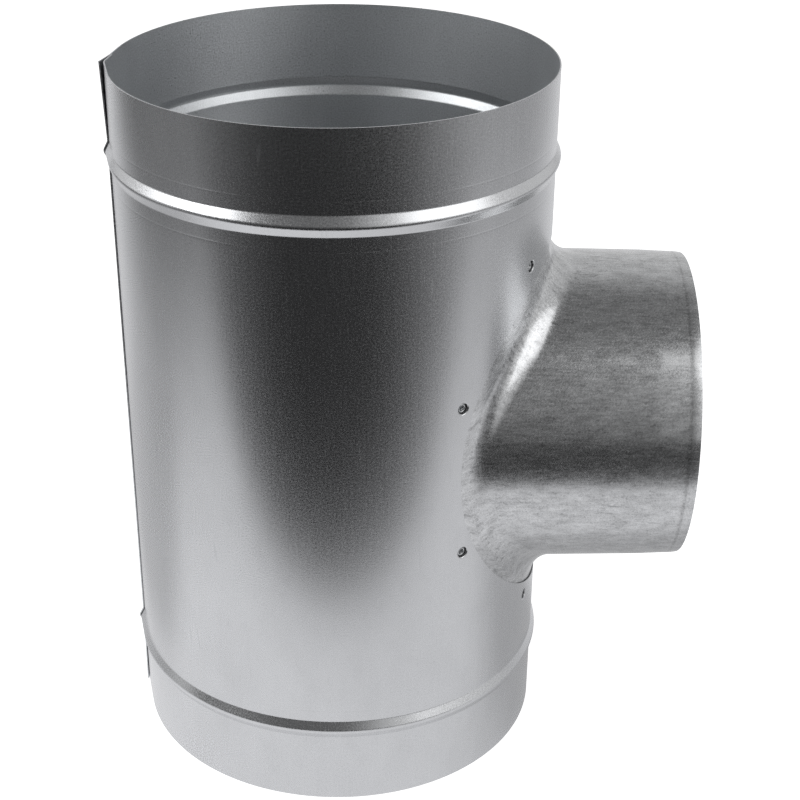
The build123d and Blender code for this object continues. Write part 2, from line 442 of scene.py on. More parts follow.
@dataclass
class RolledDuct:
    """The straight duct: one sheet, rolled and lapped on itself opposite the outlet.

    Places in the flat sheet are the distance along it from the outlet's side, and the height.

    Attributes:
        bead_setback: Way from each rim to the bead's crest.
        seam_angle: Bearing of the lap from the outlet's axis.
        outer_flat_angle: Angle of the flat outer end of the sheet.
        lap_step: How far the inner end lies below the outside.
        flare_top: How far the outer end stands open at the top; flare_bottom is the same below.
        score_gap: Way from a bead's crest to the fine lines of its rollers.
        score_rows: Mesh rows over one line, in widths.
        wave_fade: Length over which the waves fade out.
        facet_allowance: How far the mesh stays below the true round.
        hole_clear: Width of the ring round a rivet hole's mouth that the grid leaves free.
        rim_gap: Way from the mouth to the ring of points round it.
        funnel: Radius and depth of the rings of the wall that is drawn inward.
        funnel_outside: Radius of that wall's other side.
        funnel_overhang: How much farther that side is drawn.
        edge_shade: How strongly the opening's edge takes the painted recess shade, which stands for its
            darker cut steel and the shadow of the gap behind it.
        oval_clear: Free ring round the opening, in column pitches.
        joggle_columns: Mesh columns on the lapped end, the bend and the flat before the round.
        seam_columns: Mesh columns on the outer flat up to the lap, and on the lap.
        patch_margin: Width of the patch of triangles round the opening.
    """

    radius: float
    height: float
    cut_out: CutOut
    sheet: float = 0.6
    bead_setback: float = 40.6
    seam_angle: float = math.radians(183.0)
    outer_flat_angle: float = math.radians(12.2)
    lap_width: float = 12.0
    lap_step: float = 0.75
    bend_radius: float = 15.0
    flare_top: float = 1.3
    flare_bottom: float = 0.3
    score_gap: float = 10.8
    score_depth: float = 0.03
    score_width: float = 0.35
    score_rows: tuple[float, ...] = (-2.2, -1.3, -0.6, 0.0, 0.6, 1.3, 2.2)
    wave_fade: float = 14.0
    facet_allowance: float = 0.012
    hole_mouth: float = 3.1
    hole_clear: float = 2.2
    rim_gap: float = 1.1
    funnel: tuple[tuple[float, float], ...] = ((2.74, 0.14), (2.5, 0.42), (2.38, 1.3))
    funnel_outside: float = 2.86
    funnel_overhang: float = 0.05
    edge_shade: float = 2.0
    oval_clear: float = 0.6
    oval_points: int = 240
    hole_points: int = 28
    rim_points: int = 20
    joggle_columns: tuple[int, int, int] = (5, 6, 6)
    seam_columns: tuple[int, int] = (4, 7)
    column_pitch: float = 2.8
    row_pitch: float = 3.4
    patch_margin: float = 9.0

    def __post_init__(self) -> None:
        """Works out where the flats, the bend and the lap begin and end."""
        self.back_tangent = self.seam_angle - self.outer_flat_angle
        inner_corner = (self.radius - self.lap_step) / math.cos(self.outer_flat_angle)
        inner_flat_angle = math.acos(self.radius / inner_corner)
        self.front_tangent = self.seam_angle + inner_flat_angle - math.tau
        self.bend_angle = self.outer_flat_angle + inner_flat_angle
        bend_tangent = self.bend_radius * math.tan(self.bend_angle / 2)
        self.inner_flat = self.radius * math.tan(inner_flat_angle) - bend_tangent
        self.outer_flat = self.radius * math.tan(self.outer_flat_angle)
        self.under_lap = self.lap_width - bend_tangent
        self.bend_length = self.bend_radius * self.bend_angle
        self.beads = [Bead(self.bead_setback), Bead(self.height - self.bead_setback)]
        self.rolling = Waves(seed=11, height=0.05, shortest=16.0, longest=46.0, stretch=14.0)
        self.dents = Waves(seed=5, height=0.10, shortest=60.0, longest=150.0, stretch=1.6)

    def path(self, distance: np.ndarray) -> tuple[np.ndarray, np.ndarray]:
        """The sheet's outside seen from above.

        Args:
            distance: Distance along the sheet.

        Returns:
            Points of two values a row, and the direction that the sheet faces at each.
        """
        azimuth = np.clip(distance / self.radius, self.front_tangent, self.back_tangent)
        outer_run = np.maximum(distance - self.radius * self.back_tangent, 0.0)
        inner_run = np.maximum(self.radius * self.front_tangent - distance, 0.0)
        flat_run = np.minimum(inner_run, self.inner_flat)
        bend = np.clip((inner_run - self.inner_flat) / self.bend_radius, 0.0, self.bend_angle)
        lap_run = np.maximum(inner_run - self.inner_flat - self.bend_length, 0.0)
        facing = azimuth - bend
        outward = np.column_stack([np.cos(azimuth), np.sin(azimuth)])
        forward = np.column_stack([-np.sin(azimuth), np.cos(azimuth)])
        face_out = np.column_stack([np.cos(facing), np.sin(facing)])
        face_forward = np.column_stack([-np.sin(facing), np.cos(facing)])
        points = outward * self.radius + forward * (outer_run - flat_run)[:, None]
        points += (face_out - outward) * self.bend_radius - face_forward * lap_run[:, None]
        return points, facing

    def unevenness(self, distance: np.ndarray, height: np.ndarray) -> np.ndarray:
        """Slight waves of the sheet, which fade out at the beads and at the lap."""
        quiet = smooth_step(distance - self.radius * self.front_tangent, 0.0, self.wave_fade)
        quiet = quiet * smooth_step(self.radius * self.back_tangent - distance, 0.0, self.wave_fade)
        for bead in self.beads:
            quiet = quiet * smooth_step(np.abs(height - bead.crest), bead.crest_span, self.wave_fade)
        return quiet * (self.rolling.rise(distance, height) + self.dents.rise(distance, height))

    def score_lines(self, height: np.ndarray) -> np.ndarray:
        """Depth of the fine lines that the bead rollers leave on the outside."""
        total = np.zeros(np.shape(height))
        for bead in self.beads:
            for side in (-1, 1):
                gap = (height - bead.crest - side * self.score_gap) / self.score_width
                total = total + self.score_depth * np.exp(-gap * gap)
        return total

    def offset(self, distance: np.ndarray, height: np.ndarray) -> np.ndarray:
        """Stand of the sheet over the plain round, for beads, flare and waves."""
        total = self.unevenness(distance, height) - self.facet_allowance
        for bead in self.beads:
            total = total + bead.offset(height)
        lap_start = self.radius * self.back_tangent + self.outer_flat - self.lap_width
        lap_share = np.clip((distance - lap_start) / self.lap_width, 0.0, 1.0)
        upper_foot = self.height - self.bead_setback + self.beads[1].width / 2
        lower_foot = self.bead_setback - self.beads[0].width / 2
        top = self.flare_top * np.clip((height - upper_foot) / (self.height - upper_foot), 0.0, 1.0)
        bottom = self.flare_bottom * np.clip(1.0 - height / lower_foot, 0.0, 1.0)
        return total + lap_share * (top + bottom)

    def surface(self, distance: np.ndarray, height: np.ndarray) -> np.ndarray:
        """Points of the sheet's outside."""
        return self.raised(distance, height, self.offset(distance, height) - self.score_lines(height))

    def unscored_surface(self, distance: np.ndarray, height: np.ndarray) -> np.ndarray:
        """Points of the outside without score lines, from which the smooth inside follows."""
        return self.raised(distance, height, self.offset(distance, height))

    def raised(self, distance: np.ndarray, height: np.ndarray, offset: np.ndarray) -> np.ndarray:
        """Points that stand over the rolled path by an offset."""
        points, facing = self.path(distance)
        return np.column_stack([
            points[:, 0] + offset * np.cos(facing),
            points[:, 1] + offset * np.sin(facing),
            height,
        ])

    def columns(self) -> np.ndarray:
        """Distances along the sheet at which the mesh has a column."""
        round_start = self.radius * self.front_tangent
        round_end = self.radius * self.back_tangent
        bend_start = round_start - self.inner_flat
        lap_start = bend_start - self.bend_length
        outer_end = round_end + self.outer_flat
        stops = (lap_start - self.under_lap, lap_start, bend_start, round_start, round_end,
                 outer_end - self.lap_width, outer_end)
        round_columns = round((round_end - round_start) / self.column_pitch)
        counts = (*self.joggle_columns, round_columns, *self.seam_columns)
        pieces = [np.linspace(low, high, count) for low, high, count in zip(stops, stops[1:], counts)]
        return np.unique(np.round(np.concatenate(pieces), 6))

    def rows(self) -> np.ndarray:
        """Heights at which the mesh has a row."""
        fine: list[float] = [0.0, self.height]
        for bead in self.beads:
            fine += bead.rows()
            for side in (-1, 1):
                centre = bead.crest + side * self.score_gap
                fine += [centre + step * self.score_width for step in self.score_rows]
        fine = sorted(fine)
        heights = []
        for low, high in zip(fine, fine[1:]):
            parts = max(1, round((high - low) / self.row_pitch))
            heights += list(np.linspace(low, high, parts + 1)[:-1])
        return np.array([*heights, self.height])

    def build(self) -> bpy.types.Object:
        """Builds the duct's sheet with its opening and the dimpled rivet holes."""
        maker = SheetMaker("duct_sheet", self.sheet)
        columns, rows = self.columns(), self.rows()
        patch_half = self.cut_out.half_width + self.patch_margin
        patch_high = self.cut_out.half_height + self.patch_margin
        first_column = int(np.searchsorted(columns, -patch_half)) - 1
        last_column = int(np.searchsorted(columns, patch_half))
        first_row = int(np.searchsorted(rows, self.cut_out.height - patch_high)) - 1
        last_row = int(np.searchsorted(rows, self.cut_out.height + patch_high))
        wide, high = np.meshgrid(columns, rows, indexing="ij")
        oval_reach = 1.0 + self.oval_clear * self.column_pitch / self.cut_out.half_width
        clear = self.cut_out.reach(wide, high) > oval_reach
        clear &= self.cut_out.clear_of_rivets(wide, high, self.hole_mouth + self.hole_clear)
        index = np.full(wide.shape, -1)
        index[clear] = self.add(maker, np.column_stack([wide[clear], high[clear]]))
        for i in range(len(columns) - 1):
            for j in range(len(rows) - 1):
                if not (first_column <= i < last_column and first_row <= j < last_row):
                    quad = (index[i, j], index[i + 1, j], index[i + 1, j + 1], index[i, j + 1])
                    maker.faces.append(tuple(int(corner) for corner in quad))
        self.fill_patch(maker, index[first_column:last_column + 1, first_row:last_row + 1])
        return maker.build()

    def add(self, maker: SheetMaker, flat: np.ndarray) -> np.ndarray:
        """Adds places of the flat sheet to the maker, rolled into shape."""
        normals = surface_normals(self.surface, flat[:, 0], flat[:, 1])
        outside = self.surface(flat[:, 0], flat[:, 1])
        added = maker.add_points(outside, normals, flat, np.zeros(len(flat)))
        maker.inside[added], maker.inside_normals[added] = self.inside(flat)
        return added

    def inside(self, flat: np.ndarray) -> tuple[np.ndarray, np.ndarray]:
        """Points and normals of the smooth inside below places of the flat sheet."""
        normals = surface_normals(self.unscored_surface, flat[:, 0], flat[:, 1])
        points = self.unscored_surface(flat[:, 0], flat[:, 1]) - normals * self.sheet
        points[:, 2] = np.clip(points[:, 2], 0.0, self.height)
        return points, -normals

    def fill_patch(self, maker: SheetMaker, block: np.ndarray) -> None:
        """Fills the block of the grid round the opening.

        Args:
            maker: The sheet being made.
            block: Indices of the grid's points in the block, -1 where there is none.
        """
        border = [*block[:, 0], *block[-1, 1:], *block[-2::-1, -1], *block[0, -2:0:-1]]
        oval = self.add(maker, self.cut_out.oval(self.oval_points))
        # Painted shade on the opening's cut edge: partly its darker cut steel, partly the shadow of the gap
        # behind it.
        maker.inside_zones[oval] = Zone.SHADED_RECESS.value * self.edge_shade
        holes = [oval]
        rims = []
        for centre in self.cut_out.rivet_centres():
            hole = self.add(maker, ring(centre, self.hole_mouth, self.hole_points))
            self.draw_funnel(maker, centre, hole)
            holes.append(hole)
            rims.append(self.add(maker, ring(centre, self.hole_mouth + self.rim_gap, self.rim_points)))
        used = np.concatenate([block[block >= 0], *holes, *rims])
        maker.fill(maker.places[used, :2], used, border, holes)

    def draw_funnel(self, maker: SheetMaker, centre: tuple[float, float], mouth: np.ndarray) -> None:
        """Draws the wall of a rivet hole inward, through the flange behind it.

        Args:
            maker: The sheet being made.
            centre: Centre of the hole in the flat sheet.
            mouth: Indices of the points round its mouth.
        """
        upper = mouth
        for number, (radius, depth) in enumerate(self.funnel, start=1):
            lower = self.add(maker, ring(centre, radius, len(mouth)))
            maker.outside[lower] -= maker.normals[lower] * depth
            sleeve, normals = self.inside(ring(centre, self.funnel_outside, len(mouth)))
            drawn = number / len(self.funnel) * (self.funnel[-1][1] + self.funnel_overhang - self.sheet)
            maker.inside[lower] = sleeve + normals * drawn
            # Painted shade: the drawn wall below the first ring is darkened, deep in the hole.
            maker.zones[lower] = Zone.SHADED_RECESS.value * (number > 1)
            maker.inside_zones[lower] = Zone.SHADED_RECESS.value
            maker.formed_faces += band(upper, lower)
            upper = lower


@dataclass
class PressedCollar:
    """The outlet: one pressed sheet, from its flange inside the duct to its plain end.

    Attributes:
        lead_in_length: Length of the end that bends in by lead_in_depth.
        sized_length: Length of the part behind it that was sized down by sized_depth.
        flange_lap: How far the flange reaches past the opening.
        flange_shares: Rings of the flange's mesh, as shares of its width.
        hole_clear: Ring round each hole that the mesh leaves free.
        stage_run: Length of one stage of the run, as a surface coordinate.
        ball_steps: Steps in which the ball of the root finds its place.
    """

    duct_radius: float
    reach: float
    height: float
    cut_out: CutOut
    rim_radius: float = 72.7
    sheet: float = 0.7
    draft: float = math.radians(1.48)
    root_radius: float = 15.0
    lead_in_length: float = 4.6
    lead_in_depth: float = 0.38
    sized_length: float = 14.5
    sized_depth: float = 0.30
    flange_radius: float = 98.8
    flange_lap: float = 17.0
    flange_shares: tuple[float, ...] = (0.14, 0.32, 0.54, 0.77, 1.0)
    funnel_hole: float = 2.93
    hole_clear: float = 1.0
    hole_points: int = 20
    columns: int = 300
    root_rows: int = 16
    spigot_pitch: float = 2.6
    lead_in_rows: int = 6
    stage_run: float = 10.0
    ball_steps: int = 12

    def __post_init__(self) -> None:
        """Works out the cone and draws the unevenness."""
        self.axis_radius = self.rim_radius + math.tan(self.draft) * self.reach
        self.ripples = Waves(seed=23, height=0.16, shortest=26.0, longest=90.0, stretch=1.0)

    def ball_centre(self, turn: np.ndarray) -> tuple[np.ndarray, np.ndarray]:
        """Centre of the ball that rolls along the root, outside both surfaces.

        Args:
            turn: Angle round the outlet's axis.

        Returns:
            Its distance along the outlet's axis, and from that axis.
        """
        along = np.full(np.shape(turn), self.flange_radius + self.root_radius)
        for _ in range(self.ball_steps):
            away = self.axis_radius - math.tan(self.draft) * along + self.root_radius / math.cos(self.draft)
            along = np.sqrt((self.flange_radius + self.root_radius) ** 2 - (away * np.cos(turn)) ** 2)
        return along, away

    def spigot_surface(self, turn_length: np.ndarray, run: np.ndarray) -> np.ndarray:
        """Points of the root bend, the spigot and the lead-in.

        Args:
            turn_length: Distance round the outlet's rim.
            run: 0 to 1 up the root bend, 1 to 2 up the cone, 2 to 3 along the lead-in, times stage_run.

        Returns:
            Points, one a row.
        """
        turn, stage = turn_length / self.rim_radius, run / self.stage_run
        cosine, sine = np.cos(turn), np.sin(turn)
        along, away = self.ball_centre(turn)
        centre = np.column_stack([along, away * cosine, away * sine])
        flange_normal = np.column_stack([along, away * cosine, np.zeros(len(turn))])
        flange_normal /= self.flange_radius + self.root_radius
        radial = np.column_stack([np.zeros(len(turn)), cosine, sine])
        cone_normal = radial * math.cos(self.draft)
        cone_normal[:, 0] = math.sin(self.draft)
        swing = np.arccos(np.clip(np.sum(flange_normal * cone_normal, axis=1), -1.0, 1.0))
        share = np.clip(stage, 0.0, 1.0)
        part_flange = np.sin((1.0 - share) * swing) / np.sin(swing)
        part_cone = np.sin(share * swing) / np.sin(swing)
        normal = flange_normal * part_flange[:, None] + cone_normal * part_cone[:, None]
        points = centre - normal * self.root_radius
        shoulder = self.reach - self.lead_in_length
        foot = points[:, 0].copy()
        cone_run = np.clip(stage - 1.0, 0.0, 1.0) * (shoulder - foot)
        lead_in = np.clip(stage - 2.0, 0.0, 1.0)
        points[:, 0] += cone_run + lead_in * self.lead_in_length
        points -= radial * (cone_run * math.tan(self.draft))[:, None]
        points -= radial * (lead_in**2 * self.lead_in_depth)[:, None]
        points += radial * self.sized_stand(stage, shoulder - foot)[:, None]
        quiet = np.clip(np.minimum(stage, (3.0 - stage) * 2.0), 0.0, 1.0)
        rise = self.ripples.rise(points[:, 0], turn_length) - self.ripples.height / 2
        points += normal * (rise * quiet)[:, None]
        return points + np.array([0.0, 0.0, self.height])

    def sized_stand(self, stage: np.ndarray, cone_length: np.ndarray) -> np.ndarray:
        """Stand of the wall behind the end that was sized down to slip into a duct.

        Args:
            stage: 1 at the root bend to 2 at the shoulder.
            cone_length: Length of the cone at each place.

        Returns:
            How far the wall stands over the plain cone.
        """
        share = np.clip(stage - 1.0, 0.0, 1.0)
        before = share / (1.0 - self.sized_length / cone_length)
        after = (1.0 - share) * cone_length / self.sized_length
        return self.sized_depth * np.clip(np.minimum(before, after), 0.0, 1.0)

    def flange_surface(self, wide: np.ndarray, high: np.ndarray) -> np.ndarray:
        """Points of the flange, for places in the duct's flat sheet."""
        azimuth = wide / self.duct_radius
        return np.column_stack([
            self.flange_radius * np.cos(azimuth),
            self.flange_radius * np.sin(azimuth),
            high,
        ])

    def stages(self) -> list[float]:
        """Where the mesh has a ring, as values of the run."""
        shoulder = self.reach - self.lead_in_length
        cone_rows = round((shoulder - self.duct_radius) / self.spigot_pitch)
        runs = [0.0]
        for number, rows in enumerate((self.root_rows, cone_rows, self.lead_in_rows)):
            start = number * self.stage_run
            runs += list(np.linspace(start, start + self.stage_run, rows + 1)[1:])
        return runs

    def build(self) -> bpy.types.Object:
        """Builds the collar."""
        maker = SheetMaker("outlet_collar", self.sheet)
        turns = np.arange(self.columns) * math.tau / self.columns * self.rim_radius
        travelled = np.zeros(self.columns)
        rings = []
        for stage in self.stages():
            run = np.full(self.columns, stage)
            outside = self.spigot_surface(turns, run)
            if rings:
                travelled = travelled + np.linalg.norm(outside - maker.outside[rings[-1]], axis=1)
            normals = surface_normals(self.spigot_surface, turns, run)
            places = self.finish_places(turns / self.rim_radius, travelled)
            rings.append(maker.add_points(outside, normals, places, run / self.stage_run))
        for lower, upper in zip(rings, rings[1:]):
            maker.faces += band(lower, upper)
        self.fill_flange(maker, rings[0])
        return maker.build()

    def finish_places(self, turn: np.ndarray, travelled: np.ndarray) -> np.ndarray:
        """Places for the finish: on a plain round about the outlet's axis, with no seam.

        Args:
            turn: Angle round the outlet's axis.
            travelled: Way along the sheet from the foot of the root bend.

        Returns:
            Three values a row.
        """
        return np.column_stack([self.rim_radius * np.cos(turn), travelled, self.rim_radius * np.sin(turn)])

    def fill_flange(self, maker: SheetMaker, root: np.ndarray) -> None:
        """Fills the flange between the foot of the root bend and its outline.

        Args:
            maker: The sheet being made.
            root: Indices of the points at the foot of the root bend.
        """
        foot = maker.outside[root]
        wide = np.arctan2(foot[:, 1], foot[:, 0]) * self.duct_radius
        flat_root = np.column_stack([wide, foot[:, 2]])
        half_width = self.cut_out.half_width + self.flange_lap
        half_height = self.cut_out.half_height + self.flange_lap
        turn = np.arctan2((foot[:, 2] - self.cut_out.height) / half_height, wide / half_width)
        edge = np.column_stack([half_width * np.cos(turn), self.cut_out.height + half_height * np.sin(turn)])
        foot_reach = np.hypot(foot[:, 1], foot[:, 2] - self.height)
        flats = [flat_root]
        loops = []
        for share in self.flange_shares:
            flat = flat_root + (edge - flat_root) * share
            if share < 1.0:
                free = self.funnel_hole + self.hole_clear
                flat = flat[self.cut_out.clear_of_rivets(flat[:, 0], flat[:, 1], free)]
            flats.append(flat)
            loops.append(self.add_flange(maker, flat, foot_reach))
        centres = self.cut_out.rivet_centres()
        rims = [ring(centre, self.funnel_hole, self.hole_points) for centre in centres]
        holes = [self.add_flange(maker, rim, foot_reach) for rim in rims]
        used = np.concatenate([root, *loops, *holes])
        maker.fill(np.vstack([*flats, *rims]), used, loops[-1], [root, *holes])

    def add_flange(self, maker: SheetMaker, flat: np.ndarray, foot_reach: np.ndarray) -> np.ndarray:
        """Adds places of the flange to the maker.

        Args:
            maker: The sheet being made.
            flat: Places in the duct's flat sheet.
            foot_reach: How far the foot of the root bend lies from the outlet's axis at each column.

        Returns:
            Their indices.
        """
        azimuth = flat[:, 0] / self.duct_radius
        normals = np.column_stack([np.cos(azimuth), np.sin(azimuth), np.zeros(len(flat))])
        outside = self.flange_surface(flat[:, 0], flat[:, 1])
        turn = np.arctan2(outside[:, 2] - self.height, outside[:, 1])
        columns = np.arange(self.columns) * math.tau / self.columns
        foot = np.interp(turn, columns, foot_reach, period=math.tau)
        places = self.finish_places(turn, foot - np.hypot(outside[:, 1], outside[:, 2] - self.height))
        return maker.add_points(outside, normals, places, np.full(len(flat), Zone.FLANGE.value))


@dataclass
class HollowRivets:
    """The hollow rivets that hold the collar, each with a rolled lip in its dimple.

    Attributes:
        flange_inside: Radius of the flange's inside, on which the heads lie.
        bore_lead: Way from the lip's foot to where the bore grows plain, as shank_lead outside.
        lip_top: Height of the lip's top over the duct's outside.
        lip_lean: How far the lip's middle is shifted outward.
        head_bevel: Bevel of the head's edge at the flange, as head_round on the other side.
    """

    duct_radius: float
    cut_out: CutOut
    flange_inside: float = 98.1
    clearance: float = 0.08
    bore: float = 1.05
    bore_lead: float = 0.2
    shank: float = 1.7
    shank_lead: float = 0.1
    lip: float = 2.05
    lip_top: float = -0.95
    lip_half_height: float = 0.35
    lip_lean: float = 0.08
    lip_steps: int = 12
    head: float = 3.0
    head_thickness: float = 0.55
    head_bevel: float = 0.15
    head_round: float = 0.2
    segments: int = 40

    def profile(self) -> list[tuple[float, float]]:
        """Radius and height over the duct's outside round a rivet's wall."""
        head_top = self.flange_inside - self.clearance - self.duct_radius
        head_bottom = head_top - self.head_thickness
        lip_foot = self.lip_top - self.lip_half_height
        lip_centre = (self.lip + self.bore) / 2 + self.lip_lean
        lip_round = self.lip - lip_centre
        points = [(self.bore, head_bottom), (self.bore, lip_foot - self.bore_lead)]
        for step in range(self.lip_steps + 1):
            turn = math.pi * (1.0 - step / self.lip_steps)
            rise = lip_foot + self.lip_half_height * math.sin(turn)
            points.append((lip_centre + lip_round * math.cos(turn), rise))
        return points + [
            (self.shank, lip_foot - self.shank_lead),
            (self.shank, head_top),
            (self.head - self.head_bevel, head_top),
            (self.head, head_top - self.head_bevel),
            (self.head, head_bottom + self.head_round),
            (self.head - self.head_round, head_bottom),
        ]

    def build(self) -> bpy.types.Object:
        """Builds all the rivets in one mesh."""
        profile = self.profile()
        points: list[Vector] = []
        faces: list[Face] = []
        count = len(profile)
        upward = Vector((0.0, 0.0, 1.0))
        for wide, high in self.cut_out.rivet_centres():
            azimuth = wide / self.duct_radius
            outward = Vector((math.cos(azimuth), math.sin(azimuth), 0.0))
            sideways = Vector((-math.sin(azimuth), math.cos(azimuth), 0.0))
            foot = outward * self.duct_radius + upward * high
            first = len(points)
            for step in range(self.segments):
                turn = math.tau * step / self.segments
                spoke = sideways * math.cos(turn) + upward * math.sin(turn)
                points += [foot + spoke * radius + outward * rise for radius, rise in profile]
            for step in range(self.segments):
                here = first + step * count
                there = first + (step + 1) % self.segments * count
                for k in range(count):
                    after = (k + 1) % count
                    faces.append((here + k, there + k, there + after, here + after))
        mesh = bpy.data.meshes.new("hollow_rivets")
        mesh.from_pydata([point * MM for point in points], [], faces)
        mesh.validate()
        mesh.shade_smooth()
        mesh.set_sharp_from_angle(angle=SHARP_ANGLE)
        return new_object("hollow_rivets", mesh)


@dataclass(frozen=True)
class Ramp:
    """A soft change of a value between two places.

    Attributes:
        start: Where it begins.
        end: Where it ends.
        before: Value up to its start.
        after: Value from its end on.
    """

    start: float
    end: float
    before: float = 0.0
    after: float = 1.0


class NodeBoard:
    """A node tree with short ways to add and join nodes."""

    def __init__(self, tree: bpy.types.NodeTree) -> None:
        """Takes the tree and empties it."""
        self.tree = tree
        tree.nodes.clear()

    def add(self, kind: str, **settings: object) -> bpy.types.Node:
        """Adds a node with its own settings."""
        node = self.tree.nodes.new(kind)
        for name, value in settings.items():
            setattr(node, name, value)
        return node

    def put(self, socket: Socket, value: object) -> None:
        """Sets one input, or joins it to an output."""
        if isinstance(value, Socket):
            self.tree.links.new(value, socket)
        else:
            socket.default_value = value

    def feed(self, node: bpy.types.Node, **values: object) -> bpy.types.Node:
        """Sets or joins a node's inputs, named with _ for a space.

        Args:
            node: The node.
            **values: Plain values, or sockets to join.

        Returns:
            The same node.
        """
        for name, value in values.items():
            self.put(node.inputs[name.replace("_", " ")], value)
        return node

    def compute(self, kind: str, *values: object, **settings: object) -> Socket:
        """Adds a node, fills its inputs in their order and gives its first output."""
        node = self.add(kind, **settings)
        for socket, value in zip(node.inputs, values):
            self.put(socket, value)
        return node.outputs[0]

    def math(self, operation: str, *values: object) -> Socket:
        """A sum, product or other operation on values."""
        return self.compute("ShaderNodeMath", *values, operation=operation)

    def vector_math(self, operation: str, *values: object) -> Socket:
        """An operation on vectors that gives a vector."""
        return self.compute("ShaderNodeVectorMath", *values, operation=operation)

    def product(self, first: object, *others: object) -> Socket:
        """The product of several values."""
        for other in others:
            first = self.math("MULTIPLY", first, other)
        return first

    def between(self, first: object, second: object, share: object) -> Socket:
        """The first value where the share is 0, the second where it is 1."""
        return self.math("MULTIPLY_ADD", self.math("SUBTRACT", second, first), share, first)

    def ramp(self, value: object, ramp: Ramp) -> Socket:
        """What a ramp gives for a value."""
        node = self.add("ShaderNodeMapRange", interpolation_type="SMOOTHSTEP")
        self.feed(node, Value=value, From_Min=ramp.start, From_Max=ramp.end)
        return self.feed(node, To_Min=ramp.before, To_Max=ramp.after).outputs["Result"]

    def noise(self, place: object, scale: object, detail: float, roughness: float) -> Socket:
        """A noise value from 0 to 1."""
        node = self.add("ShaderNodeTexNoise")
        return self.feed(node, Vector=place, Scale=scale, Detail=detail, Roughness=roughness).outputs["Fac"]

    def blend(self, share: object, first: object, second: object) -> Socket:
        """A mix of two colours."""
        node = self.add("ShaderNodeMix", data_type="RGBA")
        for number, value in ((0, share), (6, first), (7, second)):
            self.put(node.inputs[number], value)
        return node.outputs[2]

    def parts(self, vector: Socket) -> list[Socket]:
        """The three values of a vector."""
        return list(self.feed(self.add("ShaderNodeSeparateXYZ"), Vector=vector).outputs)

    def group(self, tree: bpy.types.NodeTree, **values: object) -> bpy.types.NodeOutputs:
        """Adds a shader group and gives its outputs."""
        return self.feed(self.add("ShaderNodeGroup", node_tree=tree), **values).outputs

    def level_length(self, x: Socket, y: Socket) -> Socket:
        """Length of the level part of a vector."""
        return self.math("SQRT", self.math("MULTIPLY_ADD", x, x, self.math("MULTIPLY", y, y)))

    def facing(self, x: Socket, y: Socket, azimuth: float) -> Socket:
        """How nearly a direction's level part points to a bearing, as a cosine."""
        along = self.math("MULTIPLY_ADD", x, math.cos(azimuth), self.math("MULTIPLY", y, math.sin(azimuth)))
        return self.math("DIVIDE", along, self.level_length(x, y))


def grey(level: float) -> tuple[float, float, float, float]:
    """A neutral colour."""
    return (level, level, level, 1.0)


@dataclass(frozen=True)
class TableShade:
    """A painted shadow: a soft dark patch in the lit table's glow, where the part's shadow falls.

    Attributes:
        across: Where it begins, is full, starts to fade and is gone, from left to right.
        back: The same four places from front to back.
        depth: Share of the light that it takes.
    """

    across: tuple[float, float, float, float]
    back: tuple[float, float, float, float]
    depth: float

    def build(self, board: NodeBoard, x: Socket, y: Socket) -> Socket:
        """Share of the light that is left at each place."""
        slopes = []
        for value, (begin, full, fade, gone) in ((x, self.across), (y, self.back)):
            slopes += [board.ramp(value, Ramp(begin, full)), board.ramp(value, Ramp(fade, gone, 1.0, 0.0))]
        return board.math("MULTIPLY_ADD", board.product(*slopes), -self.depth, 1.0)


@dataclass(frozen=True)
class Softbox:
    """A soft lamp that looks at the part.

    Attributes:
        azimuth: Its bearing from the part, in degrees from the outlet's axis.
        elevation: Its height over the horizon, in degrees.
        radiance: How bright its face is.
        distance: How far it stands from the part.
    """

    name: str
    azimuth: float
    elevation: float
    width: float
    height: float
    radiance: float
    distance: float = 1.75

    def build(self) -> None:
        """Adds the lamp, which the camera doesn't see."""
        bearing, lift = math.radians(self.azimuth), math.radians(self.elevation)
        middle = Vector((0.0, 0.0, cad_bounds[1][2] / 2))
        level = Vector((math.cos(bearing), math.sin(bearing), 0.0))
        away = level * math.cos(lift) + Vector((0.0, 0.0, math.sin(lift)))
        data = bpy.data.lights.new(self.name, "AREA")
        data.shape = "RECTANGLE"
        data.size = self.width
        data.size_y = self.height
        data.energy = self.radiance * math.pi * self.width * self.height
        lamp = new_object(self.name, data)
        lamp.location = middle + away * self.distance
        lamp.rotation_euler = (-away).to_track_quat("-Z", "Y").to_euler()
        lamp.visible_camera = False


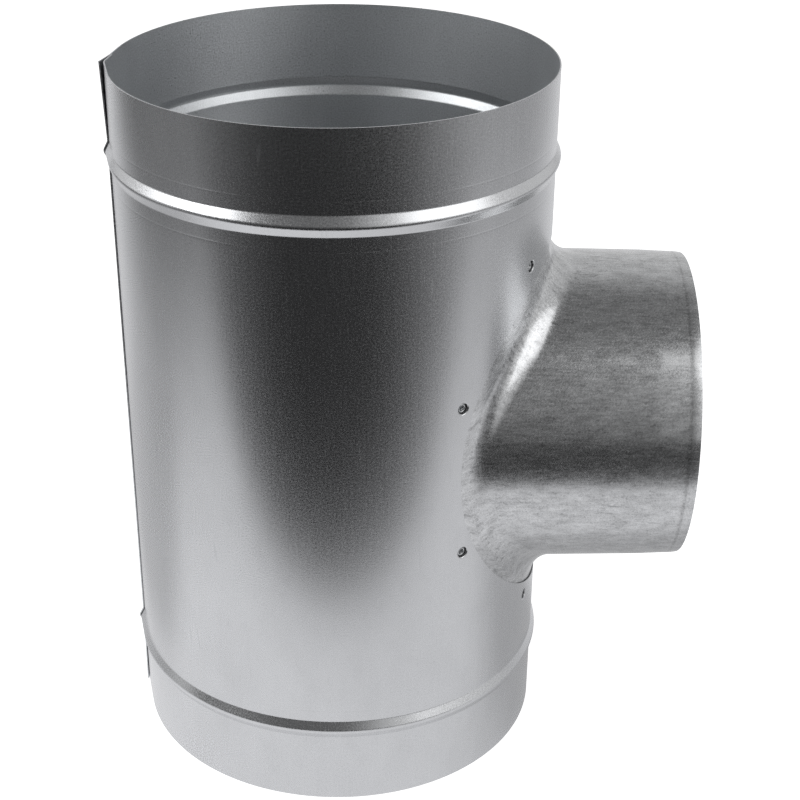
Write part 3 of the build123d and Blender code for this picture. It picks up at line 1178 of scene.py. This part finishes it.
@dataclass(frozen=True)
class StudioStage:
    """A pale floor, a plain sky and two soft lamps. Places are in metres.

    The bright metal shows the room round it: a lit table, painted as the floor's glow with painted shadows
    of the part, dark before its front edge and dim past its left end, a pale wall behind and to the right,
    and a dim room in front.

    Attributes:
        floor_drop: How far the floor lies below the duct's rim.
        floor_tone: Colour of the floor, on which the part's shadow falls.
        floor_glow: Light of its own, with which it is white to the camera.
        front_edge: The table's blurred front edge.
        front_bow: How much that edge bows forward on the left.
        haze: Weak light before the edge.
        right_haze: How much stronger that light grows to the right.
        left_lean: Where the table's left end starts to lean on the way back, and how much.
        right_lean: The same lean for its right end.
        outlet_side: The table's small loss of light on the outlet's side.
        inside_duct_shade: Painted shade of the floor inside the duct: the floor's light there, by the
            distance from the duct's axis.
        painted_shadows: Painted shadows of the part on the table, below the outlet and on the left, and a
            painted dim corner behind on the left.
        room_level: How bright the room before the table is straight ahead.
        room_turn: How the room grows brighter to both sides.
        room_sides: How bright those sides are, from left to right.
        wall_level: How bright the wall is, by height.
        dim_level: How bright the dim room is, by height.
        front_spread: How wide the dim room is, as the cosine from its bearing.
        left_spread: How wide its low part on the left is, the same way.
        left_height: How high that part is.
        diffuse_level: Even light that the sky throws.
        camera_level: How bright the sky is to the camera.
    """

    floor_half: float = 4.0
    floor_drop: float = 0.0003
    floor_tone: float = 0.85
    floor_glow: float = 0.72
    table_level: float = 0.93
    table_tint: tuple[float, float, float, float] = (0.985, 0.985, 1.0, 1.0)
    front_edge: Ramp = Ramp(-0.312, -0.252)
    front_bow: float = 0.17
    haze: Ramp = Ramp(-0.432, -0.282, 0.0, 0.05)
    right_haze: Ramp = Ramp(0.0, 0.12, 1.0, 3.8)
    left_end: Ramp = Ramp(-0.85, -0.18, 0.215, 1.0)
    left_lean: tuple[float, float] = (0.1, 0.6)
    right_end: Ramp = Ramp(0.22, 1.1, 1.0, 0.47)
    right_lean: tuple[float, float] = (0.3, -0.35)
    outlet_side: Ramp = Ramp(-0.08, 0.14, 1.0, 0.89)
    inside_duct_shade: Ramp = Ramp(0.09, 0.1, 0.17, 1.0)
    painted_shadows: tuple[TableShade, ...] = (
        TableShade((0.0, 0.09, 0.2, 0.55), (-0.105, -0.02, 0.05, 0.1), 0.40),
        TableShade((-0.75, -0.3, -0.2, -0.1), (-0.06, 0.0, 0.12, 0.4), 0.32),
        TableShade((-5.0, -4.0, -0.1, 0.0), (0.12, 0.3, 4.0, 5.0), 0.17),
    )
    room_level: float = 0.03
    room_turn: Ramp = Ramp(math.radians(20.0), math.radians(90.0))
    room_sides: Ramp = Ramp(-0.1, 0.1, 0.17, 0.36)
    wall_level: Ramp = Ramp(-0.1, 0.6, 0.90, 0.78)
    dim_level: Ramp = Ramp(-0.05, 0.45, 0.11, 0.19)
    overhead: Ramp = Ramp(0.6, 0.97)
    zenith_level: float = 0.21
    front_azimuth: float = math.radians(-107.0)
    front_spread: Ramp = Ramp(0.70, 0.93)
    left_azimuth: float = math.radians(-150.0)
    left_spread: Ramp = Ramp(0.88, 0.97)
    left_height: Ramp = Ramp(0.22, 0.4, 1.0, 0.0)
    diffuse_level: float = 0.55
    camera_level: float = 1.25
    lamps: tuple[Softbox, ...] = (
        Softbox("left_softbox", azimuth=-170.0, elevation=34.0, width=1.75, height=0.95, radiance=2.15),
        Softbox("right_softbox", azimuth=-30.0, elevation=34.0, width=1.25, height=1.5, radiance=1.22),
    )

    def build(self) -> None:
        """Builds the stage."""
        self.build_floor()
        self.build_sky()
        for lamp in self.lamps:
            lamp.build()

    def build_floor(self) -> None:
        """Lays the pale floor just under the duct's rim."""
        half = self.floor_half
        mesh = bpy.data.meshes.new("floor")
        corners = [(-half, -half, 0.0), (half, -half, 0.0), (half, half, 0.0), (-half, half, 0.0)]
        mesh.from_pydata(corners, [], [(0, 1, 2, 3)])
        floor = new_object("floor", mesh)
        floor.location.z = -self.floor_drop
        mesh.materials.append(self.floor_material())
        floor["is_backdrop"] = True

    def leaning(self, board: NodeBoard, x: Socket, y: Socket, lean: tuple[float, float]) -> Socket:
        """The place from left to right, shifted more and more behind the start of a lean."""
        behind = board.math("MAXIMUM", board.math("SUBTRACT", y, lean[0]), 0.0)
        return board.math("MULTIPLY_ADD", behind, lean[1], x)

    def table_shine(self, board: NodeBoard, x: Socket, y: Socket) -> Socket:
        """How bright the table is at each place, as the metal shows it, with painted shadows of the part and
        painted shade inside the duct.
        """
        return board.product(
            board.ramp(self.leaning(board, x, y, self.left_lean), self.left_end),
            board.ramp(self.leaning(board, x, y, self.right_lean), self.right_end),
            board.ramp(x, self.outlet_side),
            # Painted shadows of the part on the table.
            *[shade.build(board, x, y) for shade in self.painted_shadows],
            # Painted shade inside the duct, where little light reaches the floor.
            board.ramp(board.level_length(x, y), self.inside_duct_shade),
            self.table_level,
        )

    def room_shine(self, board: NodeBoard, x: Socket, y: Socket) -> Socket:
        """How bright the room before the table is, dark straight ahead and lighter to both sides."""
        turn = board.math("ARCTAN2", board.math("ABSOLUTE", x), board.math("MULTIPLY", y, -1.0))
        sideways = board.ramp(turn, self.room_turn)
        return board.math("MULTIPLY_ADD", sideways, board.ramp(x, self.room_sides), self.room_level)

    def floor_shine(self, board: NodeBoard) -> Socket:
        """How bright the floor is, as the metal shows it: the lit table and the room before it."""
        x, y, _ = board.parts(board.add("ShaderNodeTexCoord").outputs["Object"])
        left = board.math("MINIMUM", x, 0.0)
        bowed = board.math("MULTIPLY_ADD", board.math("MULTIPLY", left, left), self.front_bow, y)
        haze = board.product(board.ramp(bowed, self.haze), board.ramp(x, self.right_haze))
        on_table = board.math("MAXIMUM", board.ramp(bowed, self.front_edge), haze)
        return board.between(self.room_shine(board, x, y), self.table_shine(board, x, y), on_table)

    def floor_material(self) -> bpy.types.Material:
        """Pale floor: white to the camera with a faint shadow; to the metal, a lit table painted as glow,
        with painted shadows of the part.
        """
        material = bpy.data.materials.new("pale_floor")
        material.use_nodes = True
        board = NodeBoard(material.node_tree)
        path = board.add("ShaderNodeLightPath").outputs
        table = board.compute("ShaderNodeEmission", self.table_tint, self.floor_shine(board))
        pale = board.compute("ShaderNodeBsdfDiffuse", grey(self.floor_tone))
        white = board.compute("ShaderNodeEmission", grey(1.0), self.floor_glow)
        seen = board.compute("ShaderNodeAddShader", pale, white)
        plain = board.compute("ShaderNodeMixShader", path["Is Camera Ray"], pale, seen)
        surface = board.compute("ShaderNodeMixShader", path["Is Glossy Ray"], plain, table)
        board.feed(board.add("ShaderNodeOutputMaterial"), Surface=surface)
        return material

    def build_sky(self) -> None:
        """White to the camera, a dim room in front and a pale wall behind to the metal."""
        world = bpy.data.worlds.new("studio_sky")
        bpy.context.scene.world = world
        world.use_nodes = True
        board = NodeBoard(world.node_tree)
        path = board.add("ShaderNodeLightPath").outputs
        x, y, z = board.parts(board.add("ShaderNodeTexCoord").outputs["Generated"])
        ahead = board.ramp(board.facing(x, y, self.front_azimuth), self.front_spread)
        low_left = board.ramp(board.facing(x, y, self.left_azimuth), self.left_spread)
        dim = board.math("MAXIMUM", ahead, board.product(low_left, board.ramp(z, self.left_height)))
        level = board.between(board.ramp(z, self.wall_level), board.ramp(z, self.dim_level), dim)
        level = board.between(level, self.zenith_level, board.ramp(z, self.overhead))
        level = board.between(level, self.diffuse_level, path["Is Diffuse Ray"])
        level = board.between(level, self.camera_level, path["Is Camera Ray"])
        background = board.feed(board.add("ShaderNodeBackground"), Strength=level)
        board.feed(board.add("ShaderNodeOutputWorld"), Surface=background.outputs[0])


@dataclass(frozen=True)
class ProductCamera:
    """The camera, as solved from the photo: a long lens that looks down at the part."""

    focal_pixels: float = 1655.19
    centre_x: float = 356.458
    centre_y: float = 446.62
    turn: float = math.radians(1.97)
    yaw: float = 0.0132
    pitch: float = 0.4969
    roll: float = -0.0030
    distance: float = 0.7203
    height: float = 0.5287
    sensor: float = 36.0
    nearest: float = 0.01

    def build(self) -> None:
        """Builds the camera and makes it the scene's own."""
        data = bpy.data.cameras.new("product_camera")
        data.sensor_width = self.sensor
        data.lens = self.focal_pixels * self.sensor / IMAGE_PIXELS
        data.shift_x = (IMAGE_PIXELS / 2 - self.centre_x) / IMAGE_PIXELS
        data.shift_y = (self.centre_y - IMAGE_PIXELS / 2) / IMAGE_PIXELS
        data.clip_start = self.nearest
        level_forward = Vector((math.sin(self.yaw), math.cos(self.yaw), 0.0))
        forward = level_forward * math.cos(self.pitch) - Vector((0.0, 0.0, math.sin(self.pitch)))
        right = Vector((math.cos(self.yaw), -math.sin(self.yaw), 0.0))
        up = right.cross(forward)
        rolled_right = right * math.cos(self.roll) + up * math.sin(self.roll)
        rolled_up = up * math.cos(self.roll) - right * math.sin(self.roll)
        rotation = Matrix((rolled_right, rolled_up, -forward)).transposed()
        place = Matrix.Translation((0.0, -self.distance, self.height))
        camera = new_object("product_camera", data)
        camera.matrix_world = Matrix.Rotation(self.turn, 4, "Z") @ place @ rotation.to_4x4()
        bpy.context.scene.camera = camera


@dataclass
class SheetEffects:
    """Shader groups that the metal finishes share. Places are in metres of the flat sheet.

    Each ramp says from what value of its noise on an effect shows.

    Attributes:
        line_share: Fineness of the grain's lines, as a share of the grain's own.
        speck_share: Fineness of the specks, the same way.
        stain_share: How much finer the stains are than the clouds.
        vein_share: How much finer the veins are than the clouds.
        veins: How near its mean the noise shows as a vein.
        mark_stretch: How long the rub marks are drawn; less is longer.
        patch_scale: Fineness of the patches of rub marks.
    """

    line_share: float = 0.7
    speck_share: float = 0.55
    speck_shift: tuple[float, float, float] = (0.31, 0.17, 0.0)
    specks: Ramp = Ramp(0.70, 0.80)
    clouds: Ramp = Ramp(0.25, 0.75)
    stain_share: float = 2.6
    stain_shift: tuple[float, float, float] = (0.53, 0.29, 0.0)
    stains: Ramp = Ramp(0.52, 0.66)
    vein_share: float = 3.7
    veins: Ramp = Ramp(0.0, 0.02, 1.0, 0.0)
    mark_stretch: float = 0.022
    marks: Ramp = Ramp(0.66, 0.74)
    patch_scale: float = 55.0
    patches: Ramp = Ramp(0.5, 0.66)

    def __post_init__(self) -> None:
        """Builds each group once."""
        self.grain = self.build_grain()
        self.mottle = self.build_mottle()
        self.rubs = self.build_rubs()

    def start(
        self,
        name: str,
        numbers: dict[str, float],
        outputs: tuple[str, ...],
    ) -> tuple[NodeBoard, bpy.types.NodeOutputs, bpy.types.Node]:
        """Starts a group that takes a place and some numbers.

        Args:
            name: The group's name.
            numbers: Its number inputs and their usual values.
            outputs: The names of its outputs.

        Returns:
            The board of its tree, what it is given and its output node.
        """
        tree = bpy.data.node_groups.new(name, "ShaderNodeTree")
        tree.interface.new_socket("Place", in_out="INPUT", socket_type="NodeSocketVector")
        for label, value in numbers.items():
            entry = tree.interface.new_socket(label, in_out="INPUT", socket_type="NodeSocketFloat")
            entry.default_value = value
        for label in outputs:
            tree.interface.new_socket(label, in_out="OUTPUT", socket_type="NodeSocketFloat")
        board = NodeBoard(tree)
        return board, board.add("NodeGroupInput").outputs, board.add("NodeGroupOutput")

    def squeezed(self, board: NodeBoard, given: bpy.types.NodeOutputs) -> Socket:
        """The place, squeezed along the sheet by what the group is given."""
        squeeze = board.compute("ShaderNodeCombineXYZ", 1.0, given["Stretch"], 1.0)
        return board.vector_math("MULTIPLY", given["Place"], squeeze)

    def build_grain(self) -> bpy.types.NodeTree:
        """Fine even grain with faint lines along the sheet and tiny light specks."""
        numbers = {"Fineness": 1300.0, "Lines": 0.3, "Stretch": 0.05}
        board, given, result = self.start("sheet_grain", numbers, ("Grain", "Specks"))
        place, fineness = given["Place"], given["Fineness"]
        even = board.noise(place, fineness, detail=2.0, roughness=0.7)
        drawn = self.squeezed(board, given)
        lines = board.noise(drawn, board.product(fineness, self.line_share), detail=3.0, roughness=0.6)
        shifted = board.vector_math("ADD", place, self.speck_shift)
        specks = board.noise(shifted, board.product(fineness, self.speck_share), detail=1.0, roughness=0.5)
        grain = board.between(even, lines, given["Lines"])
        board.feed(result, Grain=grain, Specks=board.ramp(specks, self.specks))
        return board.tree

    def build_mottle(self) -> bpy.types.NodeTree:
        """Soft clouds of the zinc coat, smaller stains with clearer edges and thin veins."""
        numbers = {"Size": 0.012, "Stretch": 0.5}
        board, given, result = self.start("zinc_mottle", numbers, ("Clouds", "Stains", "Veins"))
        scale = board.math("DIVIDE", 1.0, given["Size"])
        place = self.squeezed(board, given)
        clouds = board.noise(place, scale, detail=4.0, roughness=0.6)
        shifted = board.vector_math("ADD", place, self.stain_shift)
        stains = board.noise(shifted, board.product(scale, self.stain_share), detail=5.0, roughness=0.65)
        veins = board.noise(place, board.product(scale, self.vein_share), detail=3.0, roughness=0.55)
        ridge = board.math("ABSOLUTE", board.math("SUBTRACT", veins, 0.5))
        board.feed(result, Clouds=board.ramp(clouds, self.clouds), Stains=board.ramp(stains, self.stains),
                   Veins=board.ramp(ridge, self.veins))
        return board.tree

    def build_rubs(self) -> bpy.types.NodeTree:
        """Long thin rub marks along the draw, gathered in patches."""
        board, given, result = self.start("rub_marks", {"Spacing": 0.0011, "Slant": 0.04}, ("Marks",))
        x, y, z = board.parts(given["Place"])
        lean = board.product(y, given["Slant"])
        drawn = board.compute("ShaderNodeCombineXYZ", board.math("ADD", x, lean),
                              board.product(y, self.mark_stretch), board.math("ADD", z, lean))
        lines = board.noise(drawn, board.math("DIVIDE", 1.0, given["Spacing"]), detail=1.0, roughness=0.5)
        patches = board.noise(given["Place"], self.patch_scale, detail=2.0, roughness=0.5)
        thin = board.ramp(lines, self.marks)
        board.feed(result, Marks=board.product(thin, board.ramp(patches, self.patches)))
        return board.tree


@dataclass(frozen=True)
class GalvanisedFinish:
    """Bright zinc-coated steel: its colour, and how much each effect does to it.

    Attributes:
        roughness: Its mean roughness.
        grain_tone: Share by which the grain darkens or lightens the metal.
        grain_rough: Roughness that the grain adds or takes.
        grain_depth: Depth of the grain's bump, in metres.
        speck_tone: Share by which the specks lighten it.
        speck_rough: Roughness that the specks add.
        cloud_tone: Share by which the clouds darken it.
        stain_tone: Share by which the stains darken it.
        vein_tone: Share by which thin wandering veins darken it.
        rub_tone: Share by which the rub marks darken it.
        rub_slants: Slants of the rub marks to the sheet's length.
        rub_rough: Roughness that the rub marks add.
        cloud_size: Size of the clouds, in metres.
        lines: How much of the grain is drawn out in lines.
        line_stretch: How short those lines are, from 0 for endless to 1 for round.
        inner_rough: Roughness that the sheet's inside adds.
        inner_tint: Tint of the sheet's inside.
        inner_grain: Strength of the grain on the sheet's inside.
        inner_lines: Share of the lines that the sheet's inside has.
        shoulder_tone: Share by which the line at the spigot's shoulder darkens it.
        shoulder_line: Where that line begins and fades, as values of the zone.
        press_tone: Share by which the marks of the press darken the foot of the root bend.
        press_band: Where those marks begin and fade, as values of the zone.
        metal: How metallic it is; less where the zinc coat is dull.
        painted_recess_shade: Share of the metal's tone left where shade is painted: down in the rivet holes
            and on the opening's cut edge.
    """

    name: str
    colour: tuple[float, float, float]
    roughness: float
    grain_tone: float = 0.28
    grain_rough: float = 0.22
    grain_depth: float = 0.000023
    speck_tone: float = 0.14
    speck_rough: float = 0.08
    cloud_tone: float = 0.05
    stain_tone: float = 0.02
    vein_tone: float = 0.0
    rub_tone: float = 0.0
    rub_slants: tuple[float, ...] = (0.04,)
    rub_rough: float = 0.05
    cloud_size: float = 0.02
    lines: float = 0.14
    line_stretch: float = 0.05
    inner_rough: float = 0.15
    inner_tint: tuple[float, float, float, float] = (0.988, 1.003, 1.006, 1.0)
    inner_grain: float = 1.7
    inner_lines: float = 0.2
    shoulder_tone: float = 0.0
    shoulder_line: tuple[Ramp, Ramp] = (
        Ramp(Zone.SHOULDER.value - 0.02, Zone.SHOULDER.value),
        Ramp(Zone.SHOULDER.value, Zone.SHOULDER.value + 0.2, 1.0, 0.0),
    )
    press_tone: float = 0.0
    press_band: tuple[Ramp, Ramp] = (Ramp(0.0, 0.08), Ramp(0.3, 0.62, 1.0, 0.0))
    metal: float = 1.0
    painted_recess_shade: float = 0.35

    def build(self, effects: SheetEffects) -> bpy.types.Material:
        """Builds the material.

        Args:
            effects: The shared shader groups.

        Returns:
            The finished material.
        """
        material = bpy.data.materials.new(self.name)
        material.use_nodes = True
        board = NodeBoard(material.node_tree)
        place = board.add("ShaderNodeAttribute", attribute_name=PLACE_ATTRIBUTE).outputs["Vector"]
        side = board.add("ShaderNodeAttribute", attribute_name=SIDE_ATTRIBUTE).outputs["Fac"]
        zone = board.add("ShaderNodeAttribute", attribute_name=ZONE_ATTRIBUTE).outputs["Fac"]
        lines = board.math("MULTIPLY_ADD", side, (self.inner_lines - 1.0) * self.lines, self.lines)
        grain = board.group(effects.grain, Place=place, Lines=lines, Stretch=self.line_stretch)
        mottle = board.group(effects.mottle, Place=place, Size=self.cloud_size)
        strength = board.math("MULTIPLY_ADD", side, self.inner_grain - 1.0, 1.0)
        centred = board.product(board.math("SUBTRACT", grain["Grain"], 0.5), strength)
        tone = board.math("MULTIPLY_ADD", centred, 2.0 * self.grain_tone, 1.0)
        rough = board.math("MULTIPLY_ADD", centred, 2.0 * self.grain_rough, self.roughness)
        shoulder = board.product(*[board.ramp(zone, ramp) for ramp in self.shoulder_line])
        pressed = board.product(*[board.ramp(zone, ramp) for ramp in self.press_band], mottle["Stains"])
        for mask, share in (
            (mottle["Clouds"], -self.cloud_tone),
            (mottle["Stains"], -self.stain_tone),
            (mottle["Veins"], -self.vein_tone),
            (shoulder, -self.shoulder_tone),
            (pressed, -self.press_tone),
            (grain["Specks"], self.speck_tone),
        ):
            tone = board.math("MULTIPLY_ADD", mask, share, tone)
        # Painted shade: darkens the rivet holes' drawn walls and the opening's cut edge, where shade falls.
        recess_shade_ramp = Ramp(Zone.SHADED_RECESS.value, Zone.FLANGE.value, self.painted_recess_shade, 1.0)
        tone = board.product(tone, board.ramp(zone, recess_shade_ramp))
        rough = board.math("MULTIPLY_ADD", side, self.inner_rough, rough)
        for slant in self.rub_slants:
            marks = board.group(effects.rubs, Place=place, Slant=slant)["Marks"]
            tone = board.math("MULTIPLY_ADD", marks, -self.rub_tone, tone)
            rough = board.math("MULTIPLY_ADD", marks, self.rub_rough, rough)
        rough = board.math("MULTIPLY_ADD", grain["Specks"], self.speck_rough, rough)
        colour = board.vector_math("MULTIPLY", self.colour, tone)
        colour = board.vector_math("MULTIPLY", colour, board.blend(side, grey(1.0), self.inner_tint))
        bump = board.add("ShaderNodeBump")
        board.feed(bump, Strength=1.0, Distance=self.grain_depth, Height=grain["Grain"])
        shader = board.add("ShaderNodeBsdfPrincipled")
        board.feed(shader, Base_Color=colour, Metallic=self.metal)
        board.feed(shader, Roughness=rough, Normal=bump.outputs["Normal"])
        board.feed(board.add("ShaderNodeOutputMaterial"), Surface=shader.outputs[0])
        return material


def place_piece(piece: bpy.types.Object, node: str, slot: Slot, material: bpy.types.Material) -> None:
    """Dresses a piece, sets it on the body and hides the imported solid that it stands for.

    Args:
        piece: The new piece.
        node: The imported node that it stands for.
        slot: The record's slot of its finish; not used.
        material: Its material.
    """
    piece.data.materials.append(material)
    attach(piece, "root")
    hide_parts(node)
    piece.data.calc_loop_triangles()
    log.info("%s stands for %s with %d triangles", piece.name, node, len(piece.data.loop_triangles))


def main() -> None:
    """Builds the camera, the stage and the three pieces."""
    bpy.context.scene.view_settings.view_transform = "Standard"
    ProductCamera().build()
    StudioStage().build()
    upper, outlet = mount("upper_spigot"), mount("outlet_spigot")
    duct_radius = upper["dims"]["r_mm"]
    cut_out = CutOut()
    effects = SheetEffects()
    rolled = GalvanisedFinish("rolled_galvanised", (0.655, 0.662, 0.676), 0.27)
    pressed = GalvanisedFinish(
        "pressed_galvanised",
        (0.685, 0.692, 0.703),
        0.24,
        grain_tone=0.68,
        grain_depth=0.000012,
        cloud_tone=0.24,
        stain_tone=0.16,
        vein_tone=0.2,
        rub_tone=0.2,
        rub_slants=(0.05, -0.3),
        cloud_size=0.005,
        lines=0.38,
        line_stretch=0.12,
        shoulder_tone=0.2,
        press_tone=0.12,
        metal=0.93,
    )
    plated = GalvanisedFinish("plated_rivet", (0.52, 0.53, 0.54), 0.25)
    duct = RolledDuct(duct_radius, upper["pos_m"][2] / MM, cut_out)
    place_piece(duct.build(), "body_tube", Slot.ROLLED, rolled.build(effects))
    collar = PressedCollar(duct_radius, outlet["pos_m"][0] / MM, outlet["pos_m"][2] / MM, cut_out)
    place_piece(collar.build(), "branch_collar", Slot.PRESSED, pressed.build(effects))
    rivets = HollowRivets(duct_radius, cut_out)
    place_piece(rivets.build(), "collar_rivets", Slot.RIVET, plated.build(effects))
    sizes = {"cad": cad_bounds, "visual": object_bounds()}
    {name: [[float(value) for value in corner] for corner in box] for name, box in sizes.items()}


if __name__ == "__main__":
    logging.basicConfig(level=logging.INFO, format="%(message)s")
    main()
